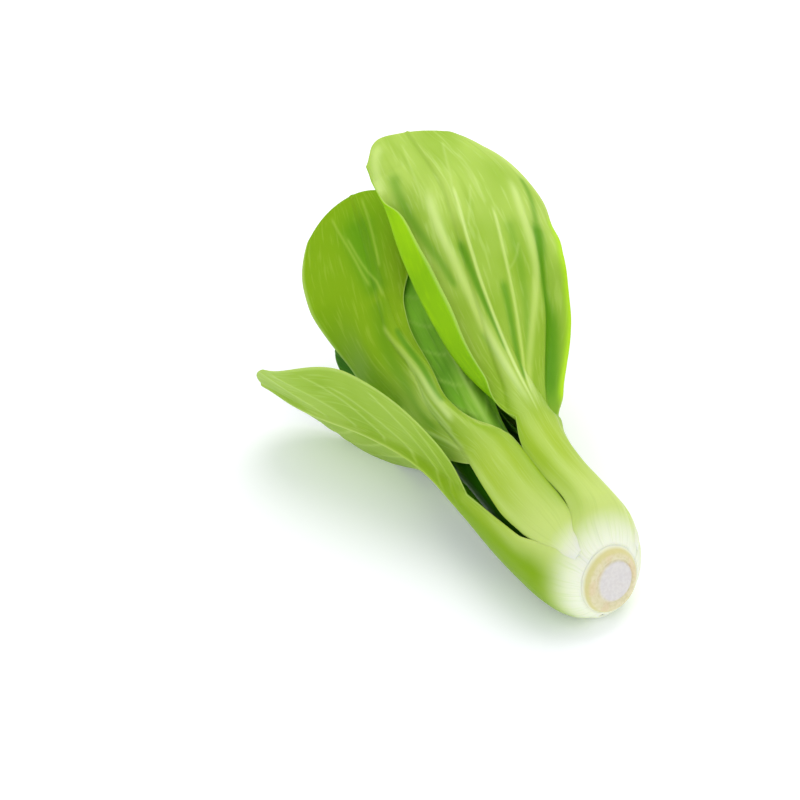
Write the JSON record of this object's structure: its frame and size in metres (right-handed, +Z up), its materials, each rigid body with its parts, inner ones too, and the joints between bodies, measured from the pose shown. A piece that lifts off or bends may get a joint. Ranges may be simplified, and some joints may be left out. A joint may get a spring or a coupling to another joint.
{
  "type": "bok choy",
  "caption": "Head of green-stemmed bok choy lying on its side: a swollen pale base with its cut root end, and broad overlapping stalks opening into cupped, wavy green leaves.",
  "frame": {"origin": "on the surface the head lies on, under the centre of its bounding box", "axes": "+Y from the cut root end towards the leaf tips, +Z up, +X to the right seen from the cut end"},
  "size_m": [0.1552, 0.2502, 0.1288],
  "materials": {
    "stem_cut": "moist cut stem, cream ring round greyish-white pith",
    "outer_stalk": "smooth waxy pale green, nearly white at the base",
    "inner_stalk": "smooth waxy yellow-green",
    "outer_blade": "fresh green leaf, soft sheen, pale veins",
    "inner_blade": "fresh deeper green leaf, soft sheen, pale veins"
  },
  "bodies": {
    "root": {"stem_base": "stem_cut", "leaf_01_stalk": "outer_stalk", "leaf_01_blade": "outer_blade", "leaf_02_stalk": "outer_stalk", "leaf_02_blade": "outer_blade", "leaf_03_stalk": "outer_stalk", "leaf_03_blade": "outer_blade", "leaf_04_stalk": "outer_stalk", "leaf_04_blade": "outer_blade", "leaf_05_stalk": "outer_stalk", "leaf_05_blade": "outer_blade", "leaf_06_stalk": "outer_stalk", "leaf_06_blade": "outer_blade", "leaf_07_stalk": "inner_stalk", "leaf_07_blade": "inner_blade", "leaf_08_stalk": "inner_stalk", "leaf_08_blade": "inner_blade", "leaf_09_stalk": "inner_stalk", "leaf_09_blade": "inner_blade", "leaf_10_stalk": "inner_stalk", "leaf_10_blade": "inner_blade", "leaf_11_stalk": "inner_stalk", "leaf_11_blade": "inner_blade", "leaf_12_stalk": "inner_stalk", "leaf_12_blade": "inner_blade", "leaf_13_stalk": "inner_stalk", "leaf_13_blade": "inner_blade"}
  },
  "joints": []
}
